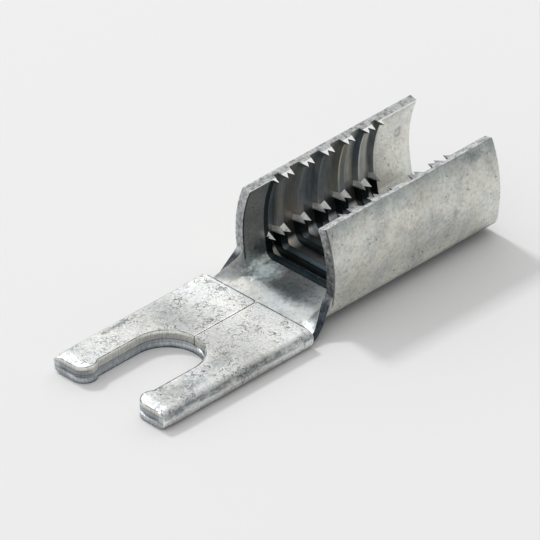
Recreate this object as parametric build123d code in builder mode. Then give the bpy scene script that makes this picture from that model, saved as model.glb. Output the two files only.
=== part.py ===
from build123d import *
from math import asin, cos, degrees, radians, sin, sqrt
import os

# Fork terminal for a 6 mm stud, stamped and folded from one piece of tinned sheet.
# The origin is on the stud's axis, in the plane of the seating face. The tines point
# along -X, the wire barrel lies along +X, and the barrel's mouth opens along +Z.

# Sheet
sheet = 0.8                  # thickness of the sheet
fold_gap = 0.05              # air left between the two layers of a closed fold

# Tongue, made of the bottom layer and two flaps folded over it
slot_width = 6.4             # passes a 6 mm stud
slot_depth = 9.7             # from the tines' fronts to the round end of the slot
tongue_width = 13.1          # over the two folded edges
flap_length = 16.9           # from the tines' fronts to the flaps' rear edges
seam_gap = 0.14              # between the flaps, along the middle
tine_corner = 1.15           # rounding of each tine's inner front corner
mouth_pinch = 0.3            # how far that corner swells into the slot
tine_outer_corner = 0.35     # rounding of each tine's outer front corner
lead_in_length = 1.1         # shallow slope along the front of each tine's top
lead_in_drop = 0.1
flap_corner = 0.3            # rounding of the flaps' rear corners, at the seam

# Neck, where the sheet is single
neck_width = 11.8
neck_length = 0.2            # flat stretch behind the flaps
flare_length = 3.0           # stretch where the sides curl up and grow into the barrel
flare_steps = 6              # sections along the flare
first_turn = 0.5             # degrees that the sides are turned up where the flare starts
curl_growth = 0.9            # below 1, the sides curl up in the front part of the flare
side_start = 0.15            # straight part of the sides where the flare starts
side_growth = 3              # above 1, it grows in the rear part of the flare

# Wire barrel, an open channel with bowed walls
barrel_length = 19.4
barrel_width = 11.3          # outside, where the walls are furthest apart
barrel_height = 9.15         # of the walls' upper edges above the seating face
mouth_width = 9.4            # outside, between the walls' upper edges
belly_height = 4.6           # where the walls are furthest apart
flank_height = 3.0           # top of the flat flank above each corner bend
corner_radius = 1.5          # outside radius of the bend between floor and flank
trim_slope = 14              # degrees by which the walls' trimmed upper faces drop inwards
trim_allowance = 3           # degrees of wall above the upper edge, trimmed off
trim_edge = 0.12             # rounding of the upper edge, outside

# Serrations, coined across the inside of the barrel
front_land = 2.8             # plain stretch before the first tooth
groove_count = 6
groove_span = 1.63           # from tooth to tooth across a groove
end_groove_span = 1.06       # the same at the first and the last groove
tooth_span = 0.72            # from tooth to tooth within a pair
groove_thickness = 0.46      # sheet left under a groove
tooth_height = 0.4           # how far a tooth stands above the sheet's inner face
wall_tooth_height = 0.14     # the same on the walls, where the punch flattened the teeth
tooth_flank = 0.12           # lean of a tooth's side towards the groove

# Barbs and fangs, where the punch pushed each pair of teeth out from the wall: the barbs
# above the bend, and the fangs at the wall's upper edge
barb_reach = 0.92            # from the sheet's inner face to a barb's tip
barb_rise = 0.6              # height over which a barb slopes out of the wall
fang_reach = 0.62            # from the sheet's inner face to a fang's tip
fang_drop = 0.75             # height below the upper edge where a fang starts
barb_spread = 0.36           # width of the root beside a tip
barb_notch = 0.55            # depth of the notch between the two tips of a pair

# Places along the length
front = slot_width / 2 - slot_depth
flap_rear = front + flap_length
flare_start = flap_rear + neck_length
barrel_front = flare_start + flare_length
barrel_rear = barrel_front + barrel_length

# Cross-section of the barrel, as half-widths and heights
folded_thickness = 2 * sheet + fold_gap
barrel_base = (folded_thickness - sheet) / 2
wall_bow = (barrel_width - mouth_width) / 2
wall_rise = barrel_height - belly_height
wall_radius = (wall_rise ** 2 + wall_bow ** 2) / (2 * wall_bow)
wall_axis = barrel_width / 2 - wall_radius
wall_top_angle = degrees(asin(wall_rise / wall_radius))
flank_lean = degrees(asin((belly_height - flank_height) / wall_radius))
corner_turn = 90 - flank_lean
flank_top = wall_axis + sqrt(wall_radius ** 2 - (belly_height - flank_height) ** 2)
lean_sin = sin(radians(flank_lean))
lean_cos = cos(radians(flank_lean))
bend_to_flank_top = flank_height - barrel_base - corner_radius
floor_half = flank_top - (corner_radius + bend_to_flank_top * lean_sin) / lean_cos
flank_bottom = floor_half + corner_radius * lean_cos
flank_start_height = barrel_base + corner_radius * (1 - lean_sin)
flank_length = (flank_height - flank_start_height) / lean_cos
barb_top = flank_height + barb_rise
fang_bottom = barrel_height - fang_drop
corner_bend = corner_radius * radians(corner_turn)
neck_bend = neck_width / 2 - floor_half - side_start

# Tooth tips along the barrel, two for each groove
groove_spans = [end_groove_span] + [groove_span] * (groove_count - 2) + [end_groove_span]
grooves = []
next_tip = barrel_front + front_land
for span in groove_spans:
    grooves.append((next_tip, next_tip + span))
    next_tip += span + tooth_span
barbs = [(grooves[0][0],)]
for groove, next_groove in zip(grooves, grooves[1:]):
    barbs.append((groove[1], next_groove[0]))
barbs.append((grooves[-1][1],))


def eased(share):
    """A share from 0 to 1 that leaves 0 and reaches 1 smoothly."""
    return share ** 2 * (3 - 2 * share)


def strip_points(tooth_rise):
    """Points of the barrel sheet cut along its length: X, and height from the outer face."""
    tooth_tip = sheet + tooth_rise
    points = [(barrel_front, 0), (barrel_front, sheet)]
    for first_tip, second_tip in grooves:
        points += [
            (first_tip - tooth_span / 2, sheet),
            (first_tip, tooth_tip),
            (first_tip + tooth_flank, groove_thickness),
            (second_tip - tooth_flank, groove_thickness),
            (second_tip, tooth_tip),
        ]
    points.append((grooves[-1][1] + tooth_span / 2, sheet))
    points += [(barrel_rear, sheet), (barrel_rear, 0)]
    return points


def across(half_width, height, turn):
    """Plane across the sheet, along X, where the sheet has turned up from the floor by turn."""
    return Plane(
        origin=(0, half_width, height),
        x_dir=(1, 0, 0),
        z_dir=(0, -cos(radians(turn)), -sin(radians(turn))),
    )


def barb_points(tips, outer_face, spread, reach):
    """Points of a barb seen from above, with one tip or a pair of them."""
    root = outer_face - groove_thickness / 2
    tip_line = outer_face - sheet - reach
    points = [(tips[0] - spread, root), (tips[0], tip_line)]
    if len(tips) > 1:
        points += [((tips[0] + tips[1]) / 2, tip_line + barb_notch), (tips[1], tip_line)]
    points.append((tips[-1] + spread, root))
    return points


def wall_at(height):
    """Half-width of the bowed wall's outer face at a height."""
    return wall_axis + sqrt(wall_radius ** 2 - (height - belly_height) ** 2)


floor_outline = strip_points(tooth_height)
wall_outline = strip_points(wall_tooth_height)

# Tongue: the folded sheet, the stud slot and the tines' fronts
with BuildPart() as tongue:
    with BuildSketch(Plane.YZ.offset(front)):
        with Locations((0, folded_thickness / 2)):
            SlotOverall(tongue_width, folded_thickness)
            SlotOverall(tongue_width - 2 * sheet, fold_gap, mode=Mode.SUBTRACT)
        with Locations((0, sheet)):
            Rectangle(seam_gap, folded_thickness, align=(Align.CENTER, Align.MIN), mode=Mode.SUBTRACT)
    extrude(amount=flap_length)

    seam_edges = tongue.edges().filter_by(Axis.Z).group_by(Axis.X)[-1]
    fillet(seam_edges, flap_corner)

    lead_in = tongue.edges().group_by(Axis.X)[0].filter_by(Axis.Y).group_by(Axis.Z)[-1]
    chamfer(lead_in, length=lead_in_length, length2=lead_in_drop)

    with BuildSketch(Plane.XY) as tongue_plan:
        with Locations((front, 0)):
            Rectangle(flap_length, tongue_width, align=(Align.MIN, Align.CENTER))
        fillet(tongue_plan.vertices().group_by(Axis.X)[0], tine_outer_corner)
        Circle(slot_width / 2, mode=Mode.SUBTRACT)
        Rectangle(-front, slot_width, align=(Align.MAX, Align.CENTER), mode=Mode.SUBTRACT)
        swell_x = front + tine_corner
        swell_y = slot_width / 2 - mouth_pinch + tine_corner
        square_x = swell_x - tine_corner / 2
        square_y = swell_y - tine_corner / 2
        with Locations((square_x, square_y), (square_x, -square_y)):
            Rectangle(tine_corner, tine_corner, mode=Mode.SUBTRACT)
        with Locations((swell_x, swell_y), (swell_x, -swell_y)):
            Circle(tine_corner)
    extrude(amount=folded_thickness, mode=Mode.INTERSECT)

# Neck and flare: the single sheet, flat, then rising a little and curling up at its sides
with BuildPart() as neck:
    with BuildSketch(Plane.YZ.offset(flap_rear)):
        Rectangle(neck_width, sheet, align=(Align.CENTER, Align.MIN))
    extrude(amount=neck_length)

with BuildPart() as half_flare:
    for step in range(flare_steps):
        share = step / (flare_steps - 1)
        curled = eased(share ** curl_growth)
        base = barrel_base * eased(share)
        turn = first_turn + (corner_turn - first_turn) * curled
        radius = (neck_bend + (corner_bend - neck_bend) * curled) / radians(turn)
        side = side_start + (flank_length - side_start) * share ** side_growth
        along = Vector(cos(radians(turn)), sin(radians(turn)))
        inward = Vector(-along.Y, along.X)
        centre = (floor_half, base + radius)
        with BuildSketch(Plane.YZ.offset(flare_start + flare_length * share)):
            with BuildLine():
                Line((0, base), (floor_half, base))
                outer_bend = CenterArc(centre, radius, -90, turn)
                inner_bend = CenterArc(centre, radius - sheet, -90, turn)
                outer_tip = outer_bend @ 1 + along * side
                inner_tip = outer_tip + inward * sheet
                Polyline(outer_bend @ 1, outer_tip, inner_tip, inner_bend @ 1)
                Polyline((floor_half, base + sheet), (0, base + sheet), (0, base))
            make_face()
    loft()

# Barrel: floor, corner bend, flank and bowed wall of one half, with the serrations along them
with BuildPart() as half_barrel:
    with BuildSketch(across(0, barrel_base, 0)):
        Polygon(*floor_outline, align=None)
    extrude(amount=-floor_half)
    with BuildSketch(across(floor_half, barrel_base, 0)):
        Polygon(*floor_outline, align=None)
    bend_axis = Axis((0, floor_half, barrel_base + corner_radius), (1, 0, 0))
    revolve(axis=bend_axis, revolution_arc=corner_turn)
    with BuildSketch(across(flank_bottom, flank_start_height, corner_turn)):
        Polygon(*floor_outline, align=None)
    extrude(amount=-flank_length)
    with BuildSketch(across(flank_top, flank_height, corner_turn)):
        Polygon(*wall_outline, align=None)
    bow_axis = Axis((0, wall_axis, belly_height), (1, 0, 0))
    revolve(axis=bow_axis, revolution_arc=flank_lean + wall_top_angle + trim_allowance)
    trim_face = Plane(
        origin=(0, mouth_width / 2, barrel_height),
        x_dir=(1, 0, 0),
        z_dir=(0, -sin(radians(trim_slope)), cos(radians(trim_slope))),
    )
    split(bisect_by=trim_face, keep=Keep.BOTTOM)
    upper_edge = half_barrel.edges().filter_by(Axis.X).sort_by(Axis.Z)[-1]
    fillet(upper_edge, trim_edge)
    for tips in barbs:
        with BuildSketch(Plane.XY.offset(flank_height)):
            Polygon(*barb_points(tips, flank_top, barb_spread, barb_reach), align=None)
        with BuildSketch(Plane.XY.offset(barb_top)):
            Polygon(*barb_points(tips, wall_at(barb_top), tooth_flank, 0), align=None)
        loft()
        with BuildSketch(Plane.XY.offset(fang_bottom)):
            Polygon(*barb_points(tips, wall_at(fang_bottom), tooth_flank, 0), align=None)
        with BuildSketch(trim_face):
            Polygon(*barb_points(tips, 0, barb_spread, fang_reach), align=None)
        loft()

with BuildPart() as fork_terminal:
    add(tongue.part)
    add(neck.part)
    add(half_flare.part)
    add(half_barrel.part)
    mirror(half_flare.part, about=Plane.XZ)
    mirror(half_barrel.part, about=Plane.XZ)

fork_terminal.part.label = "fork_terminal"

os.makedirs("parts", exist_ok=True)
export_step(fork_terminal.part, "parts/fork_terminal.step")
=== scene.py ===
# %% [markdown]
# The object is a fork terminal, folded from one piece of tinned sheet. Its solid is already
# built, so this lesson starts by loading it as a fixed frame. It could be modelled again here,
# but then the two could drift apart. Everything after this is in metres and in the same axes:
# the stud's axis is at the origin, the tines point along -X, and the wire barrel lies along +X
# and opens along +Z.

# %% Load the frame
import math
import bmesh
import bpy
from mathutils import Matrix, Vector


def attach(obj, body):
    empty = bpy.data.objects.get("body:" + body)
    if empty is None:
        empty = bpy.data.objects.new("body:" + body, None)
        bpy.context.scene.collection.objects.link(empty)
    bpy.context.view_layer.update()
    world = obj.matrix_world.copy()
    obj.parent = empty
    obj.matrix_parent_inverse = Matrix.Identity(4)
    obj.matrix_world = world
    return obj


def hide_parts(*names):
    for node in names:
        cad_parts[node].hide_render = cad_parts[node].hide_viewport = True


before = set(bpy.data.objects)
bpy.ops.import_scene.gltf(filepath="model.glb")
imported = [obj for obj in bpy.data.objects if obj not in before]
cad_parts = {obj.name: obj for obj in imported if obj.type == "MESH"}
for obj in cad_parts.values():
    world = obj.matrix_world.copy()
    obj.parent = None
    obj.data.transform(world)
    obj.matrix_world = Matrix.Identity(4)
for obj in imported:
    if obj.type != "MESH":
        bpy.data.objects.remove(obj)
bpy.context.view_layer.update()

MM = 0.001

# %% [markdown]
# The solid arrives as loose triangles. Before anything can be rounded, the triangles have to
# share their corners, and each flat face should be one face again. The node itself is left
# alone: a copy of its mesh is merged, and its flat triangles are joined into larger faces.

# %% Merge a copy of the solid's mesh
MERGE_DISTANCE = 0.0005 * MM
FLAT_ANGLE = math.radians(0.05)
sheet_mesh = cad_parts["fork_terminal"].data.copy()
sheet_mesh.materials.clear()
bm = bmesh.new()
bm.from_mesh(sheet_mesh)
bmesh.ops.remove_doubles(bm, verts=bm.verts, dist=MERGE_DISTANCE)
bmesh.ops.dissolve_limit(
    bm, angle_limit=FLAT_ANGLE, use_dissolve_boundaries=False, verts=bm.verts, edges=bm.edges, delimit={"NORMAL"}
)
bmesh.ops.recalc_face_normals(bm, faces=bm.faces)
open_edges = sum(1 for edge in bm.edges if not edge.is_manifold)
print("merged faces", len(bm.faces), "open edges", open_edges, "volume mm3", round(bm.calc_volume() / MM ** 3, 1))

# %% [markdown]
# The sheet shows several kinds of surface: its rolled faces, duller inside the barrel than
# outside, the edges that the die sheared, and the grooves and teeth that a punch coined into
# the barrel. Each reflects in its own way, so every face is given a material number from where
# it is and how it faces. They could be picked by hand, but there are thousands, and the rules
# still hold if a size changes. The barbs and fangs stand among the grooves, but their upper
# faces are torn out of the wall and stay lighter, as the sheet is.

# %% Sort the faces by how they were made
ROLLED, SHEARED, COINED, EDGE, INSIDE = range(5)
SLOT_REACH, SLOT_HALF = 4.0 * MM, 5.0 * MM
TONGUE_REAR = 10.5 * MM
BARREL_FRONT = 13.6 * MM
GROOVES_FRONT, GROOVES_REAR = 16.0 * MM, 29.1 * MM
CHANNEL_MIDDLE = Vector((0, 0, 5 * MM))
UPPER_EDGES, FANGS_FROM = 8.3 * MM, 7.3 * MM
BARBS_FROM = 2.9 * MM
SQUARE_ON, UPWARDS, SLANTED_UP, UPRIGHT = 0.98, 0.9, 0.3, 0.05


def faces_channel(centre, normal):
    """Whether a face of the barrel or the flare looks into the channel."""
    return normal.dot(CHANNEL_MIDDLE - Vector((0, centre.y, centre.z))) > 0


def barrel_surface(centre, normal):
    """The material number of a face of the barrel or the flare."""
    outwards = normal.y * math.copysign(1, centre.y)
    if centre.x < BARREL_FRONT and outwards > UPRIGHT and normal.z > -UPRIGHT:
        return SHEARED
    if centre.x > BARREL_FRONT and centre.z > UPPER_EDGES and normal.z > UPWARDS:
        return SHEARED
    if GROOVES_FRONT < centre.x < GROOVES_REAR and faces_channel(centre, normal):
        if centre.z > BARBS_FROM and normal.z > SLANTED_UP:
            return ROLLED if centre.z > FANGS_FROM else INSIDE
        return COINED
    if abs(normal.x) > SQUARE_ON:
        return SHEARED
    return INSIDE if faces_channel(centre, normal) else ROLLED


def how_made(face):
    """The material number of a face."""
    centre, normal = face.calc_center_median(), face.normal
    if centre.x > TONGUE_REAR:
        return barrel_surface(centre, normal)
    if abs(normal.x) > SQUARE_ON:
        return SHEARED
    in_slot = centre.x < SLOT_REACH and abs(centre.y) < SLOT_HALF
    return SHEARED if in_slot and abs(normal.z) < UPRIGHT else ROLLED


counts = [0] * 5
for face in bm.faces:
    face.material_index = how_made(face)
    face.smooth = True
    counts[face.material_index] += 1
print("rolled, sheared, coined, edge and inside faces", counts)

# %% [markdown]
# A thin dark line runs round the tongue wherever the die cut it, because the plating is thin
# and dull on the burr. The line could be a pattern, but it follows the outline, so it is made
# from the outline: the flat tops are inset by a hair, and the narrow faces between the inset
# and a cut are given a finish of their own. The seam is left out. The press also squeezed its
# two sides together, so its edges are moved until only a hairline is left.

# %% Draw the rim of the tongue and close the seam
SHARP_ANGLE = math.radians(24)
RIM_WIDTH = 0.11 * MM
TONGUE_TOP, SMALLEST_TOP = 1.4 * MM, MM ** 2
FLAPS_FROM = 0.8 * MM
SEAM_EDGE = 0.08 * MM
SEAM_CLOSED = 0.7

for vert in bm.verts:
    if abs(vert.co.y) < SEAM_EDGE and vert.co.x < TONGUE_REAR and vert.co.z > FLAPS_FROM:
        vert.co.y *= SEAM_CLOSED
tops = [
    face for face in bm.faces
    if face.normal.z > SQUARE_ON and face.calc_center_median().z > TONGUE_TOP
    and face.calc_center_median().x < TONGUE_REAR and face.calc_area() > SMALLEST_TOP
]
rim = bmesh.ops.inset_individual(bm, faces=tops, thickness=RIM_WIDTH, use_even_offset=True)["faces"]
dark_rim = 0
for face in rim:
    cut = [edge for edge in face.edges if edge.calc_face_angle(0) > SHARP_ANGLE]
    if any(abs(edge.verts[0].co.y) > SEAM_EDGE or abs(edge.verts[1].co.y) > SEAM_EDGE for edge in cut):
        face.material_index = EDGE
        dark_rim += 1
print("flat tops", len(tops), "rim faces", len(rim), "of them dark", dark_rim)

# %% [markdown]
# A stamping has no perfectly sharp edge. Shearing rolls one side of the cut over and leaves a
# small burr on the other, and the plating rounds both. The coined teeth stay sharper. The
# edges could be rounded in the solid, one by one, but there are several hundred of them, so
# a Bevel modifier does it in the next cell, and here a weight on each edge says how much of
# its width the edge takes. The seam is hardly rounded and the gap between the folded layers
# not at all, because a rounding would open these hairlines to the eye.

# %% Weigh the edges
COINED_SHARE, SEAM_SHARE = 0.5, 0.3
FOLD_GAP = (0.75 * MM, 0.9 * MM)


def rounding_share(edge):
    """The share of the full rounding that an edge takes."""
    first, second = (vert.co for vert in edge.verts)
    if all(FOLD_GAP[0] < end.z < FOLD_GAP[1] and end.x < TONGUE_REAR for end in (first, second)):
        return 0
    if all(abs(end.y) < SEAM_EDGE and end.x < TONGUE_REAR for end in (first, second)):
        return SEAM_SHARE
    return COINED_SHARE if any(face.material_index == COINED for face in edge.link_faces) else 1


edge_weight = bm.edges.layers.float.new("bevel_weight_edge")
rounded = 0
for edge in bm.edges:
    if edge.calc_face_angle(0) > SHARP_ANGLE:
        edge[edge_weight] = rounding_share(edge)
        rounded += 1
bm.to_mesh(sheet_mesh)
bm.free()
print("edges to round", rounded)

# %% [markdown]
# The real terminal is one piece of sheet, so the dressed one is one object too. Cut into a
# tongue and a barrel, it would show a rounded joint between them. It takes the place of the
# solid in the frame. The Bevel modifier gives the new faces the dull finish of the rim, and
# the Weighted Normal modifier keeps the large faces flat between the rounded edges.

# %% Dress the terminal and round its edges
SHEARED_ROUNDING = 0.06 * MM
terminal = bpy.data.objects.new("tinned_terminal", sheet_mesh)
bpy.context.scene.collection.objects.link(terminal)
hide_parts("fork_terminal")
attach(terminal, "root")

rounding = terminal.modifiers.new("edge rounding", "BEVEL")
rounding.width = SHEARED_ROUNDING
rounding.segments = 2
rounding.limit_method = "WEIGHT"
rounding.use_clamp_overlap = True
rounding.material = EDGE
shading = terminal.modifiers.new("flat faces stay flat", "WEIGHTED_NORMAL")
shading.keep_sharp = True
print("edges are rounded by up to", round(SHEARED_ROUNDING / MM, 3), "mm")

# %% [markdown]
# The finish is dull tin. Tin reflects about two thirds of the light, and on a part that was
# stamped and then tumbled it is no mirror: it is blotched in tone, finely mottled, and covered
# with pits and short wandering scratches. All of that could be painted by hand, but noise
# patterns give it at every scale at once and without a seam. This class keeps one material
# under construction, with a short method for each kind of pattern. Sizes are in millimetres.

# %% Set up a material to build on
class Finish:
    """A material under construction, with a method for each kind of pattern."""

    def __init__(self, name):
        self.material = bpy.data.materials.new(name)
        self.material.use_nodes = True
        self.nodes = self.material.node_tree.nodes
        self.links = self.material.node_tree.links
        self.shader = self.nodes["Principled BSDF"]
        self.shader.inputs["Metallic"].default_value = 1
        self.place = self.mapped(self.nodes.new("ShaderNodeTexCoord").outputs["Object"], (1 / MM,) * 3)
        self.x, self.y, self.z = self.parts(self.place)

    def feed(self, socket, value):
        """Gives a socket a pattern, a colour or a number."""
        if isinstance(value, (int, float)):
            socket.default_value = (value, value, value, 1) if socket.type == "RGBA" else value
        elif isinstance(value, tuple):
            socket.default_value = (*value, 1)
        else:
            self.links.new(value, socket)

    def mapped(self, vector, scale, shift=(0, 0, 0)):
        """A vector scaled along each axis and then shifted."""
        node = self.nodes.new("ShaderNodeMapping")
        node.inputs["Scale"].default_value = scale
        node.inputs["Location"].default_value = shift
        self.links.new(vector, node.inputs["Vector"])
        return node.outputs["Vector"]

    def parts(self, vector):
        """The three parts of a vector."""
        node = self.nodes.new("ShaderNodeSeparateXYZ")
        self.links.new(vector, node.inputs["Vector"])
        return [node.outputs[axis] for axis in "XYZ"]

    def sum(self, operation, first, second):
        """A sum with two patterns, or with a pattern and a number."""
        node = self.nodes.new("ShaderNodeMath")
        node.operation = operation
        for socket, value in zip(node.inputs, (first, second)):
            self.feed(socket, value)
        return node.outputs["Value"]

    def mix(self, first, second, share=1.0, blend="MULTIPLY"):
        """Lays one colour over another, each of them a pattern, a colour or a grey."""
        node = self.nodes.new("ShaderNodeMix")
        node.data_type = "RGBA"
        node.blend_type = blend
        sockets = [node.inputs["Factor"]] + [s for s in node.inputs if s.type == "RGBA"]
        for socket, value in zip(sockets, (share, first, second)):
            self.feed(socket, value)
        return next(s for s in node.outputs if s.type == "RGBA")

    def ramp(self, source, stops):
        """Turns a pattern into greys or colours, given as (place, colour)."""
        node = self.nodes.new("ShaderNodeValToRGB")
        elements = node.color_ramp.elements
        while len(elements) < len(stops):
            elements.new(0.5)
        for element, (place, colour) in zip(elements, stops):
            element.position = place
            element.color = (*colour, 1) if isinstance(colour, tuple) else (colour, colour, colour, 1)
        self.links.new(source, node.inputs["Fac"])
        return node.outputs["Color"]

    def noise(self, size, detail=2, distortion=0, stretch=(1, 1, 1), shift=0):
        """A noise pattern with features of the given size, drawn out along some of the axes."""
        node = self.nodes.new("ShaderNodeTexNoise")
        node.inputs["Scale"].default_value = 1
        node.inputs["Detail"].default_value = detail
        node.inputs["Roughness"].default_value = 0.6
        node.inputs["Distortion"].default_value = distortion
        scale = [1 / (size * along) for along in stretch]
        self.links.new(self.mapped(self.place, scale, (shift,) * 3), node.inputs["Vector"])
        return node.outputs["Fac"]

    def use(self, colour, roughness):
        """Sets the colour and the roughness of the surface."""
        self.links.new(colour, self.shader.inputs["Base Color"])
        self.feed(self.shader.inputs["Roughness"], roughness)

    def bump(self, height, depth):
        """Presses a pattern into the surface."""
        node = self.nodes.new("ShaderNodeBump")
        node.inputs["Strength"].default_value = 1
        node.inputs["Distance"].default_value = depth * MM
        self.links.new(height, node.inputs["Height"])
        self.links.new(node.outputs["Normal"], self.shader.inputs["Normal"])


print("patterns are laid out in units of", MM, "m")

# %% [markdown]
# Much of the wear and of the painted light and shade depends on the place: the tongue is more
# marked than the barrel, the walls carry a painted dark reflection near their upper edges, and
# every border is ragged. Masks could be painted for all of these places. A few sums with the
# coordinates do the same and stay sharp at any size, so these helpers turn a coordinate into a
# mask that runs from 0 to 1.

# %% Turn coordinates into masks
def height_share(finish, whole):
    """The height above the table as a share of a whole height."""
    return finish.sum("DIVIDE", finish.z, whole)


def half_width(finish):
    """The distance from the middle plane."""
    return finish.sum("ABSOLUTE", finish.y, 0)


def beyond(finish, value, start, width):
    """0 up to a start, and from there a rise to 1 over the given width."""
    return finish.ramp(finish.sum("SUBTRACT", value, start), [(0, 0.0), (width, 1.0)])


def short_of(finish, value, end, width):
    """1 up to an end, and from there a fall to 0 over the given width."""
    return finish.ramp(finish.sum("SUBTRACT", value, end), [(0, 1.0), (width, 0.0)])


def wobble(finish, size, depth, shift=0):
    """A noise that swings about zero, to make a border ragged."""
    return finish.sum("MULTIPLY", finish.sum("SUBTRACT", finish.noise(size, 3, shift=shift), 0.5), depth)


def tinted(finish, colour, mask, tone):
    """A colour multiplied by a tone where a mask is 1."""
    return finish.mix(colour, finish.ramp(mask, [(0, 1.0), (1, tone)]))


helpers = (height_share, half_width, beyond, short_of, wobble, tinted)
print("helpers for masks", [helper.__name__ for helper in helpers])

# %% [markdown]
# The squiggles are the short dark lines that wander over the tongue. They could be curves laid
# on the surface, but there are hundreds. They lie instead where a noise pattern passes through
# its middle value, which draws a winding line, and a second, coarser pattern keeps them in
# loose groups. The marks are single worn or stained places that the photograph shows, each a
# soft ellipsoid with a ragged edge, or a ring.

# %% Draw squiggles and single marks
MARK_FLECKS = 0.35
SOFT_EDGE, RING_EDGE = 0.7, 0.25


def squiggles(finish, size, width, grouping, shift):
    """1 on thin winding lines that come in groups, and 0 elsewhere."""
    winding = finish.noise(size, 0, 0.6, shift=shift)
    off_line = finish.sum("ABSOLUTE", finish.sum("SUBTRACT", winding, 0.5), 0)
    lines = finish.ramp(off_line, [(0, 1.0), (width, 0.0)])
    groups = finish.ramp(finish.noise(grouping, 3, shift=shift + 5), [(0.47, 0.0), (0.55, 1.0)])
    return finish.mix(lines, groups)


def mark(finish, centre, reach, hollow=0):
    """1 in a soft ellipsoid, or in a ring where it is hollow, and 0 outside its ragged edge."""
    scale = [1 / r for r in reach]
    shift = [-c / r for c, r in zip(centre, reach)]
    distance = finish.nodes.new("ShaderNodeVectorMath")
    distance.operation = "LENGTH"
    finish.links.new(finish.mapped(finish.place, scale, shift), distance.inputs[0])
    edge = wobble(finish, MARK_FLECKS, 3 * (RING_EDGE if hollow else SOFT_EDGE))
    stops = [(0.25, 1.0), (1.0, 0.0)]
    if hollow:
        stops = [(hollow - 0.35, 0.1), (hollow, 1.0), (1.0, 0.0)]
    return finish.ramp(finish.sum("ADD", distance.outputs["Value"], edge), stops)


def with_stains_and_painted_light(finish, colour, stains_and_painted_light):
    """A colour with a list of stains and painted light and shade on it, given as (centre, reach, tone, hollow).
    """
    for centre, reach, tone, hollow in stains_and_painted_light:
        tint = tone if isinstance(tone, tuple) else (tone, tone * 1.02, tone * 1.05)
        shade = finish.mix((1.0, 1.0, 1.0), tint, mark(finish, centre, reach, hollow), "MIX")
        colour = finish.mix(colour, shade)
    return colour


print("marks have flecks of", MARK_FLECKS, "mm along their edges")

# %% [markdown]
# The tongue was pressed flat in the folding tool and handled most, so squiggles in two sizes
# and small pits cover it. They could be cut into the mesh, but they are only a tenth of a
# millimetre wide, so they are a pattern, which also sinks them a little with the bump. They
# are darker in some places than in others, and on the barrel they are faint.

# %% Cover the tongue with lines and pits
TONGUE_ENDS, TONGUE_FADE = 10.4, [(0.98, 1.0), (1.0, 0.0)]
LINE_TONE = (0.22, 0.24, 0.26)
LINES_OFF_TONGUE = 0.3


def tongue_mask(finish):
    """1 on the tongue and 0 behind it."""
    return finish.ramp(finish.sum("DIVIDE", finish.x, TONGUE_ENDS), TONGUE_FADE)


def tongue_lines(finish, on_tongue):
    """1 on the squiggles and pits of the tongue, and a little on those of the barrel."""
    fine = squiggles(finish, 0.34, 0.10, 1.1, 0)
    coarse = squiggles(finish, 0.75, 0.045, 2.0, 11)
    pits = finish.ramp(finish.noise(0.2, 0, shift=3), [(0.22, 1.0), (0.30, 0.0)])
    lines = finish.mix(finish.mix(fine, coarse, 1.0, "LIGHTEN"), pits, 1.0, "LIGHTEN")
    darkness = finish.ramp(finish.noise(1.7, 2, shift=17), [(0.42, 0.3), (0.60, 1.0)])
    plainness = finish.ramp(on_tongue, [(0, LINES_OFF_TONGUE), (1, 1.0)])
    return finish.mix(finish.mix(lines, darkness), plainness)


print("the tongue's marks end at", TONGUE_ENDS, "mm")

# %% [markdown]
# The folds have dark blotches along their shoulders, and the lowest parts of the tongue and
# the barrel carry a painted contact shade, darkest where they meet the table.
# Separate faces for these would have hard borders, so both follow the height above the table.
# Heights are shares of the folded tongue's height, and widths are shares of half its width.

# %% Darken the folds and paint shade on the foot
FOLD_HALF, FOLD_HEIGHT = 6.55, 1.65
FOLD_SIDE = [(0.92, 0.0), (0.955, 1.0)]
FOLD_SHOULDER = [(0.55, 0.0), (0.68, 1.0), (0.86, 1.0), (0.94, 0.0)]
BLOTCH_TONE = (0.52, 0.56, 0.59)
TONGUE_CONTACT_SHADE, BARREL_CONTACT_SHADE = [(0.05, 0.2), (0.2, 1.0)], [(0.55, 0.2), (0.78, 1.0)]


def fold_blotches(finish, on_tongue):
    """1 on the blotches along the shoulders of the folds."""
    side = finish.ramp(finish.sum("DIVIDE", half_width(finish), FOLD_HALF), FOLD_SIDE)
    shoulder = finish.ramp(height_share(finish, FOLD_HEIGHT), FOLD_SHOULDER)
    rubbed = finish.ramp(finish.noise(0.45, 3, stretch=(2.2, 1, 1), shift=7), [(0.45, 0.12), (0.55, 1.0)])
    return finish.mix(finish.mix(finish.mix(rubbed, shoulder), side), on_tongue)


def painted_contact_shade(finish, on_tongue):
    """The painted contact shade of the lowest parts, darkest where they meet the table."""
    height = height_share(finish, FOLD_HEIGHT)
    return finish.mix(finish.ramp(height, BARREL_CONTACT_SHADE), finish.ramp(height, TONGUE_CONTACT_SHADE), on_tongue, "MIX")


print("folds are dark from", round(FOLD_HEIGHT * FOLD_SHOULDER[0][0], 2), "mm up")

# %% [markdown]
# The sheet has one tone on the tongue, with painted light at its tip and its rear, and others
# on the barrel: light outside, and inside a painted shade on the floor and painted light up
# the walls and on the rear land. A material for each would leave hard borders, so the tones are
# blended by the place. Larger clouds and small specks then break up the plain walls.

# %% Set the tones and the painted light along the sheet
OUTSIDE_TONE, REAR_LAND_PAINTED_LIGHT = (0.94, 0.93, 0.885), (1.0, 0.99, 0.94)
FLOOR_PAINTED_SHADE, WALL_PAINTED_LIGHT = (0.54, 0.56, 0.57), (1.1, 1.08, 1.06)
WALL_TOP, REAR_LAND = 9.15, 28.6
TONGUE_STARTS = -6.5
TONGUE_PAINTED_LIGHT = [(0.0, 1.08), (0.08, 0.9), (0.3, 0.97), (0.62, 0.73), (0.88, 1.13)]


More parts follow.
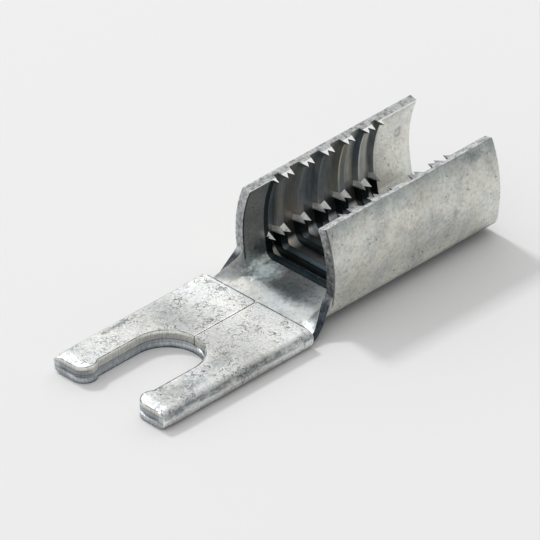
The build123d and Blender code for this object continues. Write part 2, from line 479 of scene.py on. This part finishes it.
def sheet_tone_and_painted_light(finish, on_tongue, inside):
    """The tone of the tongue and of the barrel, with painted light and shade in it."""
    barrel = OUTSIDE_TONE
    if inside:
        # painted shade on the floor inside, painted light up the walls and on the rear land
        painted_light_up_wall = finish.ramp(height_share(finish, WALL_TOP), [(0.16, FLOOR_PAINTED_SHADE), (0.42, WALL_PAINTED_LIGHT)])
        barrel = finish.mix(painted_light_up_wall, REAR_LAND_PAINTED_LIGHT, beyond(finish, finish.x, REAR_LAND, 0.6), "MIX")
    # painted light at the tongue's tip and its rear
    behind_tip = finish.sum("SUBTRACT", finish.x, TONGUE_STARTS)
    along = finish.sum("DIVIDE", behind_tip, TONGUE_ENDS - TONGUE_STARTS)
    return finish.mix(barrel, finish.ramp(along, TONGUE_PAINTED_LIGHT), on_tongue, "MIX")


def wall_clouds(finish, on_tongue):
    """The clouds and specks of the barrel."""
    clouds = finish.ramp(finish.noise(2.0, 3, shift=25), [(0.36, 0.86), (0.62, 1.05)])
    specks = finish.ramp(finish.noise(0.4, 1, shift=27), [(0.25, 0.6), (0.31, 1.0)])
    return finish.mix(finish.mix(clouds, specks), 1.0, on_tongue, "MIX")


print("tones along the tongue", [tone for _, tone in TONGUE_PAINTED_LIGHT])

# %% [markdown]
# The barrel's walls carry a painted dark reflection along the outside of their upper edges, and
# are darker beside the front cut, where the die pulled the plating thin. The fangs' sides are
# painted light. Each could be a strip of faces, but a mask with a ragged border looks less cut
# out.

# %% Wear the walls along their edges and paint light and reflection on them
WALL_OUTSIDE, FANG_ROOTS = 4.6, 3.93
NEAR_TOP = [(0.82, 0.0), (0.98, 1.0)]
TOP_PAINTED_REFLECTION, FANG_SIDE_PAINTED_LIGHT, CUT_DARK = (0.68, 0.73, 0.76), 1.5, 0.3
BESIDE_CUT_FROM, BESIDE_CUT = 13.5, [(0.05, 0.0), (0.1, 1.0), (0.22, 1.0), (0.32, 0.0)]
ABOVE_FLARE = [(0.2, 0.0), (0.25, 1.0)]


def edge_wear_and_painted_light(finish, colour):
    """A colour with a painted dark reflection along the walls' upper edges, darker beside the front cut, and
    painted light on the fangs.
    """
    outside = beyond(finish, half_width(finish), WALL_OUTSIDE, 0.1)
    ragged_height = finish.sum("ADD", height_share(finish, WALL_TOP), wobble(finish, 1.3, 0.3, 21))
    near_top = finish.ramp(ragged_height, NEAR_TOP)
    # painted dark reflection along the outside of the upper edges
    colour = tinted(finish, colour, finish.mix(outside, near_top), TOP_PAINTED_REFLECTION)
    fangs = finish.mix(short_of(finish, half_width(finish), FANG_ROOTS, 0.05), near_top)
    # painted light on the fangs' sides
    colour = tinted(finish, colour, fangs, FANG_SIDE_PAINTED_LIGHT)
    beside_cut = finish.ramp(finish.sum("SUBTRACT", finish.x, BESIDE_CUT_FROM), BESIDE_CUT)
    above_flare = finish.ramp(height_share(finish, WALL_TOP), ABOVE_FLARE)
    return tinted(finish, colour, finish.mix(beside_cut, above_flare), CUT_DARK)


# the painted dark reflection starts this far up
print("wear starts at", round(NEAR_TOP[0][0] * WALL_TOP, 1), "mm up the walls")

# %% [markdown]
# These are the single marks on the rolled faces: a streak and a few dull patches on the
# tongue, spots and clouds on the near wall and a ring on the far wall. Some are painted light
# and shade instead: a painted highlight and a painted dark reflection in the neck, a painted
# hot spot at the neck's near side, a painted shade on the far wall's front land, and a patch of
# painted light on the floor by the far bend. They could be decals, but a list of ellipsoids says
# where each one is and is easy to change. The patch of painted light is also less metallic, which
# hides the metal below as well as tinting it, so its place has a name.

# %% List the single marks and the painted light and shade
PAINTED_LIGHT_PATCH = (14.7, 3.3, 1.25), (2.1, 1.9, 0.9)
PAINTED_LIGHT_METALLIC = 0.2
ROLLED_STAINS_AND_PAINTED_LIGHT = [
    ((-0.1, 5.66, 1.65), (2.3, 0.30, 0.4), 0.5, 0),
    ((3.8, 3.9, 1.65), (1.1, 0.6, 0.4), 0.85, 0),
    ((-3.0, -4.7, 1.65), (3.6, 1.6, 0.4), (0.64, 0.65, 0.655), 0),
    ((4.6, 3.0, 1.65), (3.4, 3.2, 0.4), (0.86, 0.865, 0.85), 0),
    ((1.9, -4.1, 1.65), (2.0, 0.9, 0.4), 0.74, 0),
    ((-0.9, -4.8, 1.65), (1.1, 0.6, 0.4), 0.8, 0),
    ((9.3, 4.6, 1.65), (1.2, 0.8, 0.4), 0.85, 0),
    ((20.0, -5.6, 7.0), (0.35, 0.5, 0.5), 0.7, 0),
    ((22.7, -5.6, 8.1), (0.5, 0.5, 0.5), 0.65, 0),
    ((25.6, -5.6, 4.9), (1.4, 0.6, 1.1), 0.78, 0),
    ((27.8, -5.7, 4.7), (0.35, 0.5, 0.8), 0.7, 0),
    ((30.4, -5.0, 8.6), (1.3, 0.6, 0.6), 0.66, 0),
    ((32.0, -5.3, 7.4), (0.6, 0.6, 1.6), 0.8, 0),
    ((14.2, -4.9, 8.4), (0.9, 0.6, 1.0), 0.75, 0),
    # painted light on the floor by the far bend
    (*PAINTED_LIGHT_PATCH, (2.1, 2.3, 2.3), 0),
    # painted highlight in the neck
    ((12.0, 3.2, 1.0), (1.3, 2.6, 0.6), (1.18, 1.09, 1.02), 0),
    # painted dark reflection in the neck
    ((14.0, -0.6, 1.2), (1.9, 3.0, 0.7), (0.58, 0.63, 0.66), 0),
    # painted shade on the far wall's front land
    ((15.3, 4.9, 2.5), (1.0, 0.7, 0.9), (0.5, 0.58, 0.63), 0),
    # painted hot spot at the neck's near side
    ((11.6, -5.1, 1.0), (1.1, 0.9, 0.6), 1.9, 0),
    ((30.5, 5.0, 3.4), (0.22, 0.5, 0.3), 0.5, 0),
    ((31.5, 4.9, 6.2), (0.5, 0.5, 0.6), 0.62, 0.7),
]
print("single marks on the rolled faces", len(ROLLED_STAINS_AND_PAINTED_LIGHT))

# %% [markdown]
# The rolled faces of the sheet are most of what shows. Their colour drifts between a warm and
# a cool grey over a few millimetres. A photograph of tin could be used instead, but it would
# show its edges and repeat, so the colour is built up from the patterns and masks above. The
# faces inside the barrel take the same recipe with other tones and a little more gloss.

# %% Build the rolled tin
WARM_TIN, COOL_TIN = (0.80, 0.80, 0.77), (0.765, 0.785, 0.78)
GRAIN_OFF_TONGUE = 0.35


def rolled_tin(name, gloss, inside=False):
    """Dull rolled tin, brightest and most marked on the tongue."""
    finish = Finish(name)
    on_tongue = tongue_mask(finish)
    colour = finish.ramp(finish.noise(2.6, 2), [(0.4, COOL_TIN), (0.6, WARM_TIN)])
    colour = finish.mix(colour, sheet_tone_and_painted_light(finish, on_tongue, inside))
    mottling = finish.noise(0.3, 3)
    colour = finish.mix(colour, finish.ramp(mottling, [(0.36, 0.85), (0.54, 1.0)]))
    colour = finish.mix(colour, wall_clouds(finish, on_tongue))
    lines = tongue_lines(finish, on_tongue)
    colour = tinted(finish, colour, lines, LINE_TONE)
    colour = tinted(finish, colour, fold_blotches(finish, on_tongue), BLOTCH_TONE)
    if not inside:
        # painted contact shade along the foot
        colour = finish.mix(colour, painted_contact_shade(finish, on_tongue))
    colour = with_stains_and_painted_light(finish, edge_wear_and_painted_light(finish, colour), ROLLED_STAINS_AND_PAINTED_LIGHT)
    finish.use(colour, finish.ramp(mottling, [(0.3, gloss[0]), (0.7, gloss[1])]))
    if inside:
        # the patch of painted light is also less metallic
        less_metallic_light_patch = finish.ramp(mark(finish, *PAINTED_LIGHT_PATCH), [(0, 1.0), (1, PAINTED_LIGHT_METALLIC)])
        finish.links.new(less_metallic_light_patch, finish.shader.inputs["Metallic"])
    grain = finish.sum("MULTIPLY", finish.noise(0.16, 2), finish.sum("ADD", on_tongue, GRAIN_OFF_TONGUE))
    dents = finish.sum("ADD", grain, finish.sum("MULTIPLY", finish.noise(1.5, 1, shift=9), 0.8))
    finish.bump(finish.sum("SUBTRACT", dents, finish.sum("MULTIPLY", lines, 0.8)), 0.018)
    return finish.material


outside_tin = rolled_tin("rolled tin", (0.52, 0.42))
inside_tin = rolled_tin("tin of the barrel's inside", (0.46, 0.38), inside=True)
print("nodes in the rolled tin", len(outside_tin.node_tree.nodes))

# %% [markdown]
# A sheared edge is banded along its height. The die first burnishes the sheet and then tears
# it, so each layer has a light band over a dark one, with a dark line where they meet, and the
# punch draws fine upright streaks across them. The bands could be separate faces, but their
# borders are ragged, so they are a row of tones set against the height above the table. They
# show plainly on the tines' fronts, and faintly in the slot, which the drum polished less. The
# slot's bands are painted light, lighter than the fronts'.

# %% Band the cuts of the tongue
FRONT_BANDS = [
    (0.0, (0.10, 0.11, 0.13)),
    (0.08, (0.38, 0.40, 0.42)),
    (0.36, (0.51, 0.54, 0.56)),
    (0.41, (0.16, 0.17, 0.19)),
    (0.46, (0.49, 0.53, 0.56)),
    (0.68, (0.54, 0.57, 0.59)),
    (0.72, (0.22, 0.23, 0.24)),
    (0.76, (0.69, 0.69, 0.65)),
    (1.0, (0.78, 0.77, 0.73)),
]
# painted light: lighter than the fronts' bands
SLOT_BANDS_PAINTED_LIGHTER = [
    (0.0, (0.12, 0.13, 0.16)),
    (0.12, (0.42, 0.46, 0.49)),
    (0.42, (0.64, 0.67, 0.68)),
    (0.6, (0.96, 0.97, 0.92)),
    (1.0, (0.98, 0.97, 0.88)),
]
SLOT_FROM = -6.2


def tongue_bands(finish):
    """The bands on the tines' fronts and in the slot."""
    height = finish.sum("ADD", height_share(finish, FOLD_HEIGHT), wobble(finish, 0.5, 0.16))
    in_slot = beyond(finish, finish.x, SLOT_FROM, 0.8)
    return finish.mix(finish.ramp(height, FRONT_BANDS), finish.ramp(height, SLOT_BANDS_PAINTED_LIGHTER), in_slot, "MIX")


print("bands on a tine's front", len(FRONT_BANDS), "and in the slot", len(SLOT_BANDS_PAINTED_LIGHTER))

# %% [markdown]
# Behind the tongue the cuts are plainer. The flare's cut edges are dark, because the plating
# tore as the sheet curled up, and the barrel's are dull grey with flecks. The flat tops of the
# fangs belong to the same cut. Those of the far wall are painted light, and those of the near
# wall painted shade. All could be materials of their own, but they meet along ragged borders,
# so one material blends them by the place, and a few single marks are painted shade on the
# walls' front cuts and the round end of the slot.

# %% Build the sheared tin
FLARE_CUT, BARREL_CUT = (0.07, 0.085, 0.10), (0.50, 0.51, 0.51)
FLARE_FROM, BARREL_FROM = 8.0, 13.1
FANG_TOP_PAINTED_LIGHT_AND_SHADE = [(0.0, (0.26, 0.27, 0.28)), (1.0, (0.85, 0.86, 0.84))]
FANG_TOPS = [(0.9, 0.0), (0.92, 1.0)]
FLECKS = [(0.40, 0.6), (0.5, 1.0), (0.64, 1.25)]
SHEARED_PAINTED_SHADES = [
    # painted shade on the walls' front cuts and in the round end of the slot
    ((13.6, -5.2, 5.0), (0.8, 1.3, 5.5), 0.36, 0),
    ((13.6, 5.2, 5.0), (0.8, 1.3, 5.5), 0.8, 0),
    ((1.5, 2.9, 0.3), (3.2, 2.0, 0.7), 0.8, 0),
    ((2.8, -1.6, 0.8), (0.7, 1.0, 1.2), 0.3, 0),
]


def sheared_tin():
    """Tin on the edges that the die cut, in bands along the height, with upright streaks."""
    finish = Finish("sheared tin")
    on_flare = beyond(finish, finish.x, FLARE_FROM, 1)
    on_barrel = beyond(finish, finish.x, BARREL_FROM, 0.4)
    behind = finish.mix(FLARE_CUT, BARREL_CUT, on_barrel, "MIX")
    colour = finish.mix(tongue_bands(finish), behind, on_flare, "MIX")
    streaks = finish.noise(0.14, 3, 0.3, (1, 1, 5))
    colour = finish.mix(colour, finish.ramp(streaks, [(0.36, 0.76), (0.58, 1.06)]))
    flecks = finish.ramp(finish.noise(0.4, 4, shift=31), FLECKS)
    colour = finish.mix(colour, finish.mix(1.0, flecks, on_flare, "MIX"))
    off_wall = short_of(finish, half_width(finish), FANG_ROOTS, 0.06)
    on_top = finish.ramp(height_share(finish, WALL_TOP), FANG_TOPS)
    fangs = finish.mix(finish.mix(off_wall, on_top), on_barrel)
    # painted light on the far fangs' tops and painted shade on the near ones'
    colour = finish.mix(colour, finish.ramp(finish.y, FANG_TOP_PAINTED_LIGHT_AND_SHADE), fangs, "MIX")
    finish.use(with_stains_and_painted_light(finish, colour, SHEARED_PAINTED_SHADES), finish.ramp(streaks, [(0.3, 0.52), (0.7, 0.36)]))
    finish.bump(streaks, 0.014)
    return finish.material


cut_tin = sheared_tin()
print("nodes in the sheared tin", len(cut_tin.node_tree.nodes))

# %% [markdown]
# The coined grooves are darker than the rest. No other part could rub them bright in the drum,
# and they hold a trace of oil from the punch, which drew them in broad bands, brown beside
# blue. The bands run up the walls, so the pattern is drawn out along two of the axes. The
# teeth's slopes towards the front and all of the first tooth carry painted shade and are nearly
# black on the floor, and another set of painted shades goes up the bend: darker on the floor, a
# painted light strip along the bend and painted shade under the barbs. A bake of the shading
# could give this too, but the shape is so regular that the height and the direction of a face
# are enough.

# %% Build the coined tin
COINED_BANDS = [(0.36, (0.40, 0.46, 0.51)), (0.5, (0.60, 0.61, 0.61)), (0.64, (0.80, 0.71, 0.59))]
BEND_PAINTED_LIGHT_AND_SHADE = [(0.10, 0.5), (0.125, 0.8), (0.15, 1.4), (0.19, 0.3), (0.32, 0.3), (0.42, 1.0)]
SLOPE_PAINTED_SHADE = (0.16, 0.20, 0.22)
SLOPE_FACING = [(0.3, 1.0), (0.55, SLOPE_PAINTED_SHADE)]
LESS_SLOPE_SHADE_ON_WALL = [(0.3, 0.0), (0.4, 0.4)]
FIRST_TOOTH = 16.85


def painted_slope_shade(finish):
    """Painted shade on the teeth's slopes towards the front, and on all of the first tooth."""
    facing = finish.parts(finish.nodes.new("ShaderNodeNewGeometry").outputs["Normal"])
    slopes = finish.ramp(finish.sum("MULTIPLY", facing[0], -1), SLOPE_FACING)
    first = finish.ramp(finish.sum("SUBTRACT", finish.x, FIRST_TOOTH), [(0, SLOPE_PAINTED_SHADE), (0.1, 1.0)])
    on_wall = finish.ramp(height_share(finish, WALL_TOP), LESS_SLOPE_SHADE_ON_WALL)
    return finish.mix(finish.mix(slopes, 1.0, on_wall, "MIX"), first)


def coined_tin():
    """Dark tin in the grooves, in brown and blue bands across the barrel's length."""
    finish = Finish("coined tin")
    drawn = finish.noise(0.42, 2, 0.2, (1, 8, 12))
    patches = finish.noise(1.2, 3)
    blended = finish.sum("ADD", finish.sum("MULTIPLY", drawn, 0.7), finish.sum("MULTIPLY", patches, 0.3))
    # painted shade on the slopes, and painted light and shade up the bend
    painted_shades = finish.mix(painted_slope_shade(finish), finish.ramp(height_share(finish, WALL_TOP), BEND_PAINTED_LIGHT_AND_SHADE))
    colour = finish.mix(finish.ramp(blended, COINED_BANDS), painted_shades)
    finish.use(colour, finish.ramp(patches, [(0.3, 0.5), (0.7, 0.36)]))
    finish.bump(drawn, 0.008)
    return finish.material


groove_tin = coined_tin()
print("nodes in the coined tin", len(groove_tin.node_tree.nodes))

# %% [markdown]
# The rims are the narrow cut edges. On the tongue, the flare and the barrel's very front they
# are nearly black, here and there worn through to the metal. Further back on the barrel the
# drum rubbed them bright. Two materials would do, but all these faces already share one number,
# so one material changes along the length.

# %% Build the rim's finish and give out the materials
RIM_DARK, RIM_WORN, RIM_BRIGHT = (0.10, 0.11, 0.12), (0.36, 0.37, 0.38), (0.95, 0.96, 0.95)
RIM_BRIGHT_FROM = 13.7


def rim_tin():
    """Dull tin on the narrow edges, dark on the tongue and bright on the barrel."""
    finish = Finish("rim tin")
    worn = finish.ramp(finish.noise(0.8, 2), [(0.42, RIM_DARK), (0.62, RIM_WORN)])
    finish.use(finish.mix(worn, RIM_BRIGHT, beyond(finish, finish.x, RIM_BRIGHT_FROM, 0.2), "MIX"), 0.45)
    return finish.material


plated = [outside_tin, cut_tin, groove_tin, rim_tin(), inside_tin]
for material in plated:
    sheet_mesh.materials.append(material)
print("materials", [material.name for material in plated])

# %% [markdown]
# The photograph was taken on a plain pale table. A box or a curved backdrop would do as well,
# but from this angle only the table shows, so the floor is one large plane, a little below
# white, on which the shadow falls. It isn't part of the object.

# %% Lay the floor
FLOOR_SIZE = 6.0
FLOOR_GREY = 0.82
floor_mesh = bpy.data.meshes.new("table")
bm = bmesh.new()
bmesh.ops.create_grid(bm, x_segments=1, y_segments=1, size=FLOOR_SIZE / 2)
bm.to_mesh(floor_mesh)
bm.free()
floor = bpy.data.objects.new("table", floor_mesh)
bpy.context.scene.collection.objects.link(floor)
paper = bpy.data.materials.new("pale table")
paper.use_nodes = True
paper_shader = paper.node_tree.nodes["Principled BSDF"]
paper_shader.inputs["Base Color"].default_value = (FLOOR_GREY, FLOOR_GREY, FLOOR_GREY, 1)
paper_shader.inputs["Roughness"].default_value = 1
paper_shader.inputs["Specular IOR Level"].default_value = 0
floor_mesh.materials.append(paper)
print("floor is", FLOOR_SIZE, "m wide")

# %% [markdown]
# The shadow falls towards the lower right and is soft, so the main light is a softbox behind
# the terminal on its left, about 50 degrees up. A point lamp or a sun would do it with fewer
# values, but the one is too hard at its edge and the other has no size to set in metres.

# %% Hang the softbox
SOFTBOX_DISTANCE = 1.2
SOFTBOX_SIZE = 0.17
SOFTBOX_POWER = 4.9
SOFTBOX_TOWARDS = Vector((0.10, 1.0, 1.2)).normalized()
LIT_PLACE = Vector((12, 0, 0)) * MM
softbox = bpy.data.lights.new("softbox", "AREA")
softbox.shape = "SQUARE"
softbox.size = SOFTBOX_SIZE
softbox.energy = SOFTBOX_POWER
lamp = bpy.data.objects.new("softbox", softbox)
lamp_turn = SOFTBOX_TOWARDS.to_track_quat("Z", "Y").to_matrix().to_4x4()
lamp.matrix_world = Matrix.Translation(LIT_PLACE + SOFTBOX_TOWARDS * SOFTBOX_DISTANCE) @ lamp_turn
bpy.context.scene.collection.objects.link(lamp)
print("softbox of", SOFTBOX_POWER, "W at", SOFTBOX_DISTANCE, "m")

# %% [markdown]
# A metal shows what surrounds it more than its own colour, so the rest of the studio matters
# as much as the lamp. It could be built from cards and lamps, but a world that is brighter
# towards the back than towards the front does the same with a few values: the tongue then
# mirrors the bright side. A grey card hangs in the world over the front right, and the
# shoulders of the folds mirror it as a darker band.

# %% Light the studio
STUDIO_BACK, STUDIO_FRONT = 1.05, 0.6
CARD_TOWARDS = Vector((0.586, -0.549, 0.596)).normalized()
CARD_STOPS = [(0.80, 1.0), (0.90, 0.6)]


def set_range(node, first, last):
    """Sets where a range starts and ends, each given as (value in, value out)."""
    for name, value in zip(("From Min", "To Min", "From Max", "To Max"), (*first, *last)):
        node.inputs[name].default_value = value


world = bpy.data.worlds.new("studio")
world.use_nodes = True
sky, wires = world.node_tree.nodes, world.node_tree.links
towards = sky.new("ShaderNodeTexCoord").outputs["Generated"]
direction = sky.new("ShaderNodeSeparateXYZ")
wires.new(towards, direction.inputs["Vector"])
brightness = sky.new("ShaderNodeMapRange")
set_range(brightness, (-1, STUDIO_FRONT), (1, STUDIO_BACK))
wires.new(direction.outputs["Y"], brightness.inputs["Value"])
towards_card = sky.new("ShaderNodeVectorMath")
towards_card.operation = "DOT_PRODUCT"
towards_card.inputs[1].default_value = CARD_TOWARDS
wires.new(towards, towards_card.inputs[0])
card = sky.new("ShaderNodeMapRange")
card.interpolation_type = "SMOOTHSTEP"
set_range(card, *CARD_STOPS)
wires.new(towards_card.outputs["Value"], card.inputs["Value"])
dimmed = sky.new("ShaderNodeMath")
dimmed.operation = "MULTIPLY"
wires.new(brightness.outputs["Result"], dimmed.inputs[0])
wires.new(card.outputs["Result"], dimmed.inputs[1])
wires.new(dimmed.outputs["Value"], sky["Background"].inputs["Strength"])
sky["Background"].inputs["Color"].default_value = (1, 1, 1, 1)
bpy.context.scene.world = world
print("studio from", STUDIO_FRONT, "at the front to", STUDIO_BACK, "at the back")

# %% [markdown]
# The camera could be placed by eye, but then every edge would be a little off. It was found
# instead by matching about fifty points of the terminal with the photograph. It is a long lens
# far away, so the perspective is weak, and it is rolled by less than a degree.

# %% Place the camera
IMAGE_WIDTH = 540
AZIMUTH, ELEVATION, ROLL = (math.radians(v) for v in (-44.512, 33.307, -0.821))
DISTANCE = 1.00895
FOCAL_PIXELS = 12395.4
SIDE_SHIFT, UP_SHIFT = -1.088 * MM, -0.635 * MM
MIDDLE = Vector((13.466, 0, 4.0)) * MM
NEAREST, FARTHEST = 0.01, 20

back = Vector((
    math.sin(AZIMUTH) * math.cos(ELEVATION),
    -math.cos(AZIMUTH) * math.cos(ELEVATION),
    math.sin(ELEVATION),
))
right = Vector((math.cos(AZIMUTH), math.sin(AZIMUTH), 0))
up = back.cross(right)
right, up = (
    math.cos(ROLL) * right + math.sin(ROLL) * up,
    -math.sin(ROLL) * right + math.cos(ROLL) * up,
)
eye = MIDDLE + right * SIDE_SHIFT + up * UP_SHIFT + back * DISTANCE
lens = bpy.data.cameras.new("camera")
lens.sensor_width = 36
lens.lens = FOCAL_PIXELS / IMAGE_WIDTH * lens.sensor_width
lens.clip_start, lens.clip_end = NEAREST, FARTHEST
camera = bpy.data.objects.new("camera", lens)
turn = Matrix((right, up, back)).transposed().to_4x4()
camera.matrix_world = Matrix.Translation(eye) @ turn
bpy.context.scene.collection.objects.link(camera)
bpy.context.scene.camera = camera
bpy.context.scene.view_settings.view_transform = "Standard"
print("camera at", [round(v, 4) for v in eye], "lens", round(lens.lens, 1), "mm")
